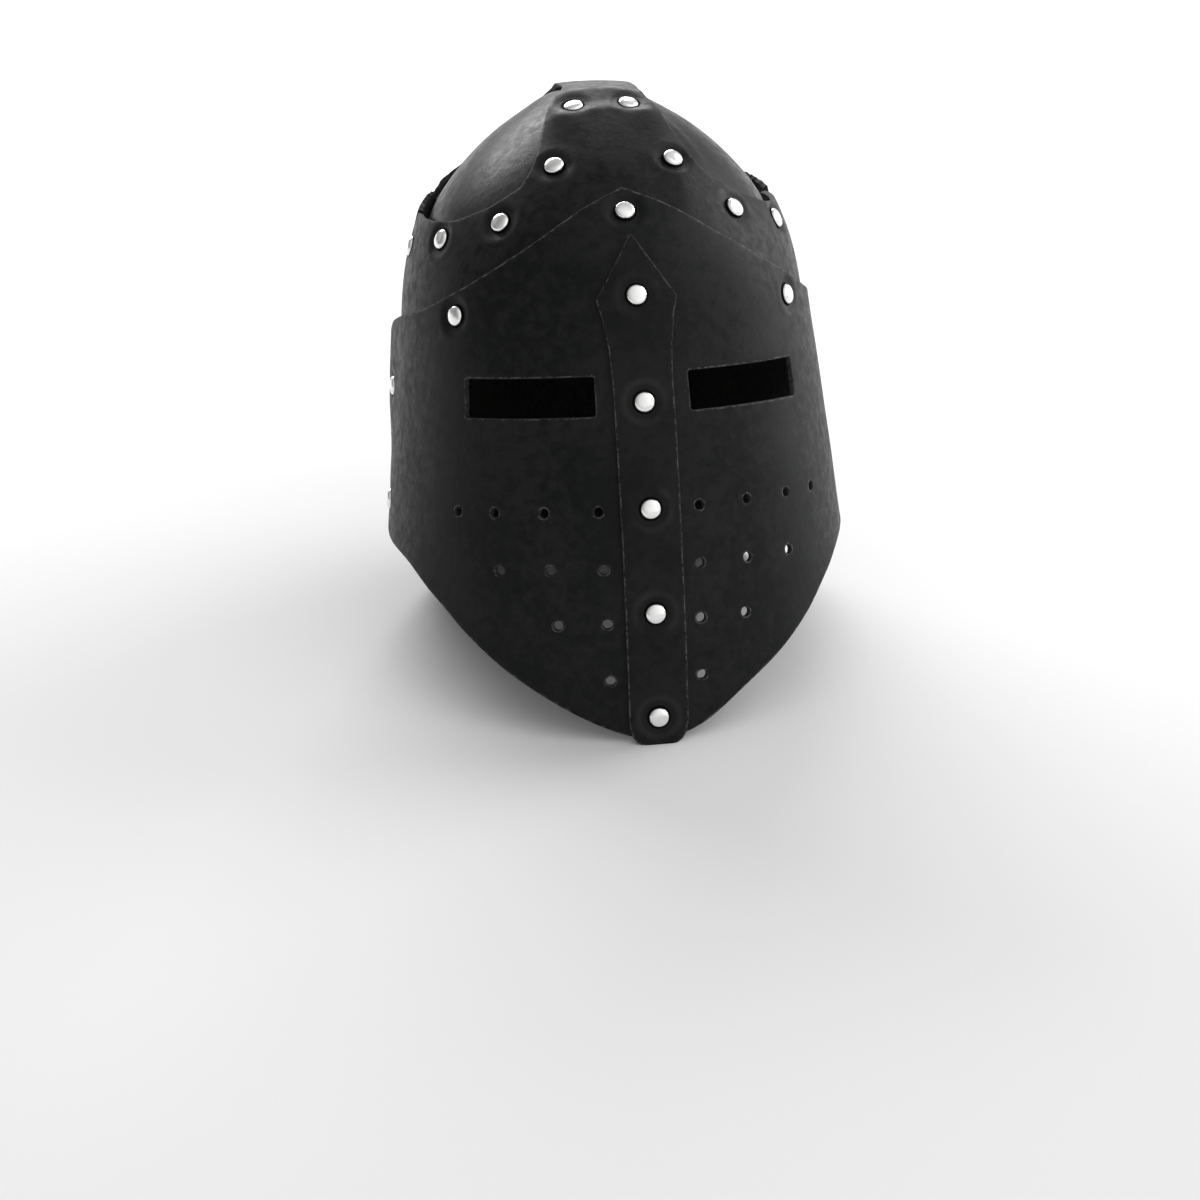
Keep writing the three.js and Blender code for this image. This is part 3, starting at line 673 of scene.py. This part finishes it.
brow_rivets = place_rivets([("peak", 0, 0.805, 2.0), ("brow", 52.8, 0.663, 1.7)], visor_face, frame_face)
seam_rivets = place_rivets([("seam_upper", 94, 0.542, 1.0), ("seam_lower", 94, 0.362, 1.0)],
                           visor_face, back_face)
bend_plate("visor", visor_loops(), wrapped, visor_face, [face_grain, cut_edge, flesh_side],
           rivets=brow_rivets + seam_rivets, lift=visor_lift)

# Strap down the middle of the face: a 33 mm band with an arrow head below the peak and a round end
# at the chin. It stiffens the face plate and is held by five rivets.
STRAP_HALF = 0.0164

# Height as a share of the crown height, and half the width as a share of the size above
STRAP_OUTLINE = [(0.003, 0.40), (0.006, 0.60), (0.011, 0.76), (0.017, 0.86), (0.024, 0.93), (0.034, 0.98),
                 (0.045, 1.00), (0.300, 0.99), (0.560, 0.99), (0.610, 1.04), (0.650, 1.16), (0.680, 1.32),
                 (0.766, 0.06)]

strap_grain = grain_leather("grain side of the face strap", (0.0030, 0.0033, 0.0035),
                            (0.0092, 0.0092, 0.0090), 0.36, 0.58)


def strap_loop():
    share, half = np.array(STRAP_OUTLINE).T
    heights = share * CROWN_HEIGHT
    across = wrap_turn(half * STRAP_HALF, heights, 3 * LAYER) * WRAP_RADIUS
    right = np.stack([across, heights], -1)
    left = right[::-1] * (-1, 1)
    return np.concatenate([right, left])


strap_rivets = place_rivets([("strap_1", 0, 0.684, 0.9)], strap_face, frame_face)
strap_rivets += place_rivets([("strap_2", 0, 0.527, 0.9), ("strap_3", 0, 0.367, 1.1),
                              ("strap_4", 0, 0.208, 1.0), ("strap_5", 0, 0.048, 0.8)],
                             strap_face, visor_face)
bend_plate("nasal_strap", [strap_loop()], wrapped, strap_face,
           [strap_grain, cut_edge, flesh_side], rivets=strap_rivets, pitch=0.0017)

# Skull frame, cut as two pieces that meet over the ears: a brow band with two arms that run up to a
# strap over the crown, and its match at the rear. The arms leave an open window on each side.
CROWN_STRAP_HALF = 0.0205
FRAME_SEAM = 0.012
FRAME_FOOT = 0.602

# Edge of the window seen from the front: out as a share of the half width, and height
FRAME_WINDOW = [(0.178, 1.000), (0.186, 0.990), (0.222, 0.974), (0.270, 0.954), (0.330, 0.918),
                (0.378, 0.886), (0.450, 0.856), (0.583, 0.830), (0.748, 0.808), (0.830, 0.806)]
# The same edge further round, seen from the side: back as a share of the nape depth, and height
FRAME_SHOULDER = [(-0.12, 0.8095), (-0.03, 0.813), (0.096, 0.815)]
# Front edge of the rear piece seen from the side
REAR_EDGE = [(0.100, 0.818), (0.190, 0.829), (0.260, 0.841), (0.320, 0.856), (0.380, 0.874), (0.430, 0.893),
             (0.455, 0.915), (0.440, 0.935), (0.380, 0.957), (0.280, 0.980), (0.180, 0.997)]

# A domed plate is drawn flat as the distance from the crown along the form, in every direction
form_height, form_side, form_face, form_nape = section_at(STEP_LADDER).T
profile_side = np.stack([form_height, (form_side + form_face + form_nape) / 3], -1)
profile_run = np.concatenate([[0], np.cumsum(np.linalg.norm(np.diff(profile_side, axis=0), axis=1))])
CROWN_RUN = profile_run[-1] - profile_run
CROWN_ASKEW = 0.0038


def domed(flat):
    run = np.hypot(flat[:, 0], flat[:, 1])
    return np.arctan2(flat[:, 0], -flat[:, 1]), np.interp(run, CROWN_RUN[::-1], STEP_LADDER[::-1])


def flat_dome(turn, step):
    run = np.interp(step, STEP_LADDER, CROWN_RUN)
    return np.stack([run * np.sin(turn), -run * np.cos(turn)], -1)


def marks_on_dome(wanted, axes, start, out=LAYER):
    """Flat places of marks that are known by two of their three coordinates on the bent plate."""
    flat = np.array(start, float)
    wanted = np.array(wanted, float)

    def seen(places):
        turn, step = domed(places)
        return (bare_form(turn, step) + form_normal(turn, step) * out)[:, axes]

    nudge = 1e-5
    for _ in range(40):
        here = seen(flat)
        along = (seen(flat + (nudge, 0)) - here) / nudge
        across = (seen(flat + (0, nudge)) - here) / nudge
        slopes = np.stack([along, across], -1)
        move = np.stack([np.linalg.lstsq(m, w, rcond=1e-3)[0] for m, w in zip(slopes, wanted - here)])
        length = np.linalg.norm(move, axis=1, keepdims=True)
        flat += move * np.minimum(1, 0.006 / np.maximum(length, 1e-9))
    return flat


def window_edge():
    rows = np.array(FRAME_WINDOW) * (HALF_WIDTH, CROWN_HEIGHT)
    fine = np.interp(np.linspace(0, len(rows) - 1, 60), np.arange(len(rows)), rows[:, 0])
    highs = np.interp(np.linspace(0, len(rows) - 1, 60), np.arange(len(rows)), rows[:, 1])
    turns = np.arcsin(np.clip(fine / (section_at(step_at(highs - 0.002))[:, 1] + LAYER), 0, 0.96))
    start = flat_dome(turns, step_at(highs - 0.002))
    return marks_on_dome(np.stack([fine, highs], -1), [0, 2], start)


def shoulder_edge():
    rows = np.array(FRAME_SHOULDER) * (NAPE_DEPTH, CROWN_HEIGHT)
    return marks_on_dome(rows, [1, 2], flat_dome(np.radians([82, 88, 95]), step_at(rows[:, 1] - 0.002)))


def seam_line(back, high, low):
    heights = np.linspace(high, low, 30)
    rows = np.stack([np.full(30, back), heights], -1)
    return marks_on_dome(rows, [1, 2], flat_dome(np.full(30, math.radians(96)), step_at(heights - 0.001)))


def foot_line(first, last):
    turns = np.radians(np.linspace(first, last, 150))
    return flat_dome(turns, np.full(150, step_at(FRAME_FOOT * CROWN_HEIGHT)))


def turn_of(flat):
    return math.degrees(math.atan2(flat[0], -flat[1]))


def worn_askew(loop):
    """The strap over the crown isn't cut quite straight: near the top it runs off to one side."""
    share = 1 - smooth_share(np.hypot(loop[:, 0] * 0.5, loop[:, 1]), 0.016, 0.042)
    return loop + np.stack([CROWN_ASKEW * share, np.zeros(len(loop))], -1)


def frame_front_loop():
    window = window_edge()
    strap_start = window[0][1]
    backs = np.linspace(FRAME_SEAM, 0.0, 4)
    strap_side = [(CROWN_STRAP_HALF, back) for back in backs]
    strap_end = marks_on_dome(strap_side, [0, 1], strap_side)
    strap_end = strap_end[strap_end[:, 1] > strap_start]
    seam = seam_line(FRAME_SEAM, 0.815 * CROWN_HEIGHT, FRAME_FOOT * CROWN_HEIGHT)
    right = np.concatenate([strap_end, window, shoulder_edge()[:2], seam])
    foot = foot_line(turn_of(seam[-1]), -turn_of(seam[-1]))[1:-1]
    return np.concatenate([right, foot, right[::-1] * (-1, 1)])[::-1]


def frame_rear_loop():
    start = FRAME_SEAM + AIR
    rows = np.array([(max(b * NAPE_DEPTH, start), h * CROWN_HEIGHT) for b, h in REAR_EDGE])
    ladder = np.linspace(0, len(rows) - 1, 50)
    edge = np.stack([np.interp(ladder, np.arange(len(rows)), rows[:, i]) for i in (0, 1)], -1)
    guess = flat_dome(np.radians(np.interp(ladder, [0, 5, 10], [97, 124, 150])), step_at(edge[:, 1] - 0.003))
    edge = marks_on_dome(edge, [1, 2], guess)
    run = np.concatenate([[0], np.cumsum(np.linalg.norm(np.diff(edge, axis=0), axis=1))])
    marks = np.arange(0, run[-1], 0.0011)
    edge = np.stack([np.interp(marks, run, edge[:, i]) for i in (0, 1)], -1)
    edge = edge[edge[:, 0] > CROWN_STRAP_HALF * 1.02]
    torn = np.random.default_rng(5).normal(0, 0.00034, (len(edge), 2))
    torn[1:] += 0.6 * torn[:-1]
    edge = edge + torn
    seam = seam_line(start, 0.818 * CROWN_HEIGHT, FRAME_FOOT * CROWN_HEIGHT)[::-1]
    tip = marks_on_dome([(CROWN_STRAP_HALF, start)], [0, 1], [(CROWN_STRAP_HALF, start)])
    right = np.concatenate([seam, edge, tip])
    foot = foot_line(360 - turn_of(seam[0]), turn_of(seam[0]))[1:-1]
    return np.concatenate([right, right[::-1] * (-1, 1), foot])


frame_grain = grain_leather("grain side of the skull frame", (0.0028, 0.0030, 0.0032),
                            (0.0105, 0.0104, 0.0102), 0.35, 0.57, wrinkle=0.48)

# The crown strap comes down to the brow in three flat facets. The first list says where they start
# and end, forwards from the crown, the second how far the strap stands out there, and the third how
# much of the dome's own curve each facet takes away.
STRAP_BENDS = [-0.012, 0.030, 0.050, 0.112]
BEND_RISE = [0.0, 0.0012, 0.0010, 0.0]
BEND_SHARE = [1.0, 1.0, 0.5]
DOME_RADIUS = 0.100


def crown_lift(base, turn, step):
    across = np.clip(np.abs(base[:, 0]) / CROWN_STRAP_HALF, 0, 1.3)
    return 0.0016 * across ** 2 * smooth_share(base[:, 2], 0.318, 0.342)


def crown_bends(base, turn, step):
    front = -base[:, 1]
    fade = np.clip((0.034 - np.abs(base[:, 0])) / 0.012, 0, 1)
    dip = np.interp(front, STRAP_BENDS, BEND_RISE)
    for start, end, flatness in zip(STRAP_BENDS, STRAP_BENDS[1:], BEND_SHARE):
        share = np.clip((front - start) / (end - start), 0, 1)
        dip -= flatness * 4 * (end - start) ** 2 / (8 * DOME_RADIUS) * share * (1 - share)
    return dip * fade


front_rivets = place_rivets([("front_1", 21.3, 0.964, 0.8), ("front_2", 24.0, 0.881, 1.7),
                             ("front_3", 40.2, 0.801, 1.7), ("front_4", 64.9, 0.777, 1.8),
                             ("front_5", 91.0, 0.762, 1.0)], frame_face, panel_face)
bend_plate("skull_frame_front", [worn_askew(frame_front_loop())], domed, frame_face,
           [frame_grain, cut_edge, flesh_side], rivets=front_rivets, lift=crown_lift, press=crown_bends)

rear_rivets = place_rivets([("rear_1", 158.7, 0.964, 1.3), ("rear_2", 136.0, 0.880, 1.5),
                            ("rear_3", 114.0, 0.829, 1.5), ("rear_4", 104.0, 0.762, 1.3)],
                           frame_face, panel_face)
nape_rivets = place_rivets([("nape", 180, 0.633, 1.4), ("nape_side", 130, 0.633, 1.4)],
                           frame_face, back_face)
raw_edge = cut_leather("raw edge of the rear frame", (0.006, 0.0058, 0.0056), (0.022, 0.021, 0.020))
REAR_GAP_RIGHT = 0.0036
REAR_GAP_LEFT = 0.0010


def rear_lift(base, turn, step):
    """The rear piece is bent less closely, and its front edge stands off the dome over the ears."""
    near_edge = smooth_share(-base[:, 1], -0.060, -0.016)
    band = smooth_share(base[:, 2], 0.276, 0.290) * (1 - smooth_share(base[:, 2], 0.306, 0.326))
    gap = np.where(base[:, 0] > 0, REAR_GAP_RIGHT, REAR_GAP_LEFT)
    return crown_lift(base, turn, step) + gap * near_edge * band


bend_plate("skull_frame_rear", [worn_askew(frame_rear_loop())], domed, frame_face,
           [frame_grain, raw_edge, flesh_side], rivets=rear_rivets + nape_rivets, lift=rear_lift)

# Two domed panels close the skull under the frame. Each is wet formed over a dome, so its surface is
# tighter and shinier than the flat cut plates, and the frame's rivets hold it.
PANEL_SPLIT = 0.0085
PANEL_FOOT = 0.682
PANEL_BACK = 0.068
PANEL_BACK_TURN = 122

panel_grain = grain_leather("grain side of the domed panels", (0.0036, 0.0037, 0.0038),
                            (0.0115, 0.0113, 0.0110), 0.28, 0.46, wrinkle=0.42)


def panel_loop(side):
    foot_run = float(np.interp(step_at(PANEL_FOOT * CROWN_HEIGHT), STEP_LADDER, CROWN_RUN))
    first = math.degrees(math.asin(PANEL_SPLIT / foot_run))
    turns = np.radians(np.linspace(first, PANEL_BACK_TURN, 90))
    foot = np.stack([foot_run * np.sin(turns), -foot_run * np.cos(turns)], -1)
    loop = np.concatenate([foot, [(PANEL_SPLIT, PANEL_BACK)]])
    return loop if side > 0 else (loop * (-1, 1))[::-1]


# One panel has taken a soft crease beside the crown strap: a ridge with a shallow trough outside it
CREASE = np.array([(0.0300, -0.0360, 0.3425), (0.0470, -0.0585, 0.3248), (0.0550, -0.0735, 0.3095),
                   (0.0620, -0.0790, 0.3000)])
TROUGH = CREASE + (0.0075, 0.0015, -0.0010)
CREASE_RISE = 0.0024
CREASE_WIDTH = 0.0042
TROUGH_DEPTH = 0.0016
TROUGH_WIDTH = 0.0048


def beside(points, line):
    gaps = []
    for start, end in zip(line, line[1:]):
        along = end - start
        share = np.clip((points - start) @ along / (along @ along), 0, 1)
        gaps.append(np.linalg.norm(points - start - share[:, None] * along, axis=1))
    return np.min(gaps, axis=0)


def crease(base, turn, step):
    return (CREASE_RISE * np.exp(-(beside(base, CREASE) / CREASE_WIDTH) ** 2)
            - TROUGH_DEPTH * np.exp(-(beside(base, TROUGH) / TROUGH_WIDTH) ** 2))


for side, name, fold in ((-1, "dome_panel_left", None), (1, "dome_panel_right", crease)):
    bend_plate(name, [panel_loop(side)], domed, panel_face,
               [panel_grain, cut_edge, flesh_side], press=fold, pitch=0.0018)

# Back plate: a plain sheet round the back and nape, under the ends of the face plate and under the
# foot of the skull frame. Its lower edge is what the helm stands on, so it is worn flat there.
NAPE_EDGE = 0.085
BACK_DIP = 35
BACK_SIDE_RISE = 0.025
BACK_START = 80
BACK_TOP = 0.662

back_grain = grain_leather("grain side of the back plate", (0.0032, 0.0034, 0.0038),
                           (0.0072, 0.0071, 0.0069), 0.40, 0.53)


def back_loop():
    turns = np.linspace(BACK_START, 360 - BACK_START, 221)
    share = smooth_share(np.abs(turns - 180), BACK_DIP, 180 - BACK_START)
    low = (NAPE_EDGE - 4 * LEATHER) * (1 - share) + (NAPE_EDGE + BACK_SIDE_RISE) * share
    around = np.radians(turns)
    for _ in range(20):
        step = step_at(low)
        inside = back_face(around, step) - LEATHER
        inner = bare_form(around, step) + form_normal(around, step) * inside[:, None]
        low = low + np.maximum(-standing(inner)[:, 2], 0)
    bottom = np.stack([around * WRAP_RADIUS, low], -1)
    ends = np.stack([around * WRAP_RADIUS, np.full(len(turns), BACK_TOP * CROWN_HEIGHT)], -1)
    return np.concatenate([bottom, ends[::-1]])


bend_plate("back_plate", [back_loop()], wrapped, back_face,
           [back_grain, cut_edge, flesh_side], pitch=0.0024)

# Rivets: turned steel with a low domed cap, plated with bright nickel, set from outside and peened
# over a burr inside. Each cap pulls the leather down into a dimple and sits a little askew.
CAP_PROFILE = [(0.0, 2.25), (1.0, 2.23), (2.0, 2.16), (3.0, 2.02), (3.8, 1.85), (4.4, 1.64), (4.75, 1.43),
               (5.1, 1.10), (5.4, 0.66), (5.58, 0.16), (5.62, -0.25), (5.5, -0.42), (5.1, -0.45),
               (2.05, -0.40)]
BURR_PROFILE = [(2.05, 0.05), (4.3, 0.0), (4.45, -0.35), (4.3, -0.75), (3.0, -1.0), (1.6, -1.35), (0.0, -1.5)]
CAP_SEAT = 0.45
BURR_SEAT = 0.15
SUNK_SHARE = 0.75
RIVET_TILT = 1.6
RIVET_SIDES = 48


def bright_nickel():
    finish = bpy.data.materials.new("bright nickel")
    finish.use_nodes = True
    tree = finish.node_tree
    shader = tree.nodes["Principled BSDF"]
    where = node(tree, "ShaderNodeTexCoord", (-1100, 0)).outputs["Object"]
    haze = noise(tree, where, (-900, 200), 300.0, 4.0, 0.6)
    marks = noise(tree, where, (-900, -100), 900.0, 5.0, 0.7)
    tree.links.new(blend_colour(tree, haze, (-500, 200), (0.84, 0.84, 0.83), (0.93, 0.93, 0.92)),
                   shader.inputs["Base Color"])
    tree.links.new(spread(tree, marks, (-500, 0), 0.3, 0.7, 0.13, 0.26), shader.inputs["Roughness"])
    tree.links.new(bump(tree, marks, (-300, -200), 0.05, 0.0002), shader.inputs["Normal"])
    shader.inputs["Metallic"].default_value = 1.0
    return finish


nickel = bright_nickel()
askew = np.random.default_rng(11)
for rivet in helm_rivets:
    sunk = rivet["outer"] - SUNK_SHARE * rivet["dimple"]
    cap = [(radius, sunk * 1000 + CAP_SEAT + rise) for radius, rise in CAP_PROFILE]
    burr = [(radius, rivet["inner"] * 1000 - BURR_SEAT + rise) for radius, rise in BURR_PROFILE]
    profile = cap + burr
    around = np.linspace(0, 2 * math.pi, RIVET_SIDES, endpoint=False)
    points = []
    for radius, height in profile:
        if radius == 0:
            points.append((0, 0, height))
        else:
            points += [(radius * math.cos(a), radius * math.sin(a), height) for a in around]
    faces = []
    for i in range(RIVET_SIDES):
        j = (i + 1) % RIVET_SIDES
        faces.append((0, 1 + i, 1 + j))
        for k in range(len(profile) - 3):
            a, b = 1 + k * RIVET_SIDES, 1 + (k + 1) * RIVET_SIDES
            faces.append((a + i, b + i, b + j, a + j))
        last = 1 + (len(profile) - 3) * RIVET_SIDES
        faces.append((last + i, len(points) - 1, last + j))
    mesh = bpy.data.meshes.new(rivet["name"])
    mesh.from_pydata(points, [], faces)
    mesh.transform(Matrix.Scale(0.001, 4))
    normal = Vector(rivet["normal"])
    nod = Matrix.Rotation(math.radians(askew.normal(0, RIVET_TILT)), 4, "X")
    tilt = nod @ Matrix.Rotation(math.radians(askew.normal(0, RIVET_TILT)), 4, "Y")
    seat = Vector(rivet["seat"]) - normal * rivet["outer"]
    pivot = Matrix.Translation((0, 0, rivet["outer"]))
    upright = normal.to_track_quat("Z", "Y").to_matrix().to_4x4()
    mesh.transform(helm_place @ Matrix.Translation(seat) @ upright @ pivot @ tilt @ pivot.inverted())
    mesh.polygons.foreach_set("use_smooth", np.ones(len(faces), bool))
    mesh.materials.append(nickel)
    mesh.update()
    piece = bpy.data.objects.new(rivet["name"] + "_nickel", mesh)
    bpy.context.scene.collection.objects.link(piece)
    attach(piece, "root")
    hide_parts(rivet["name"])
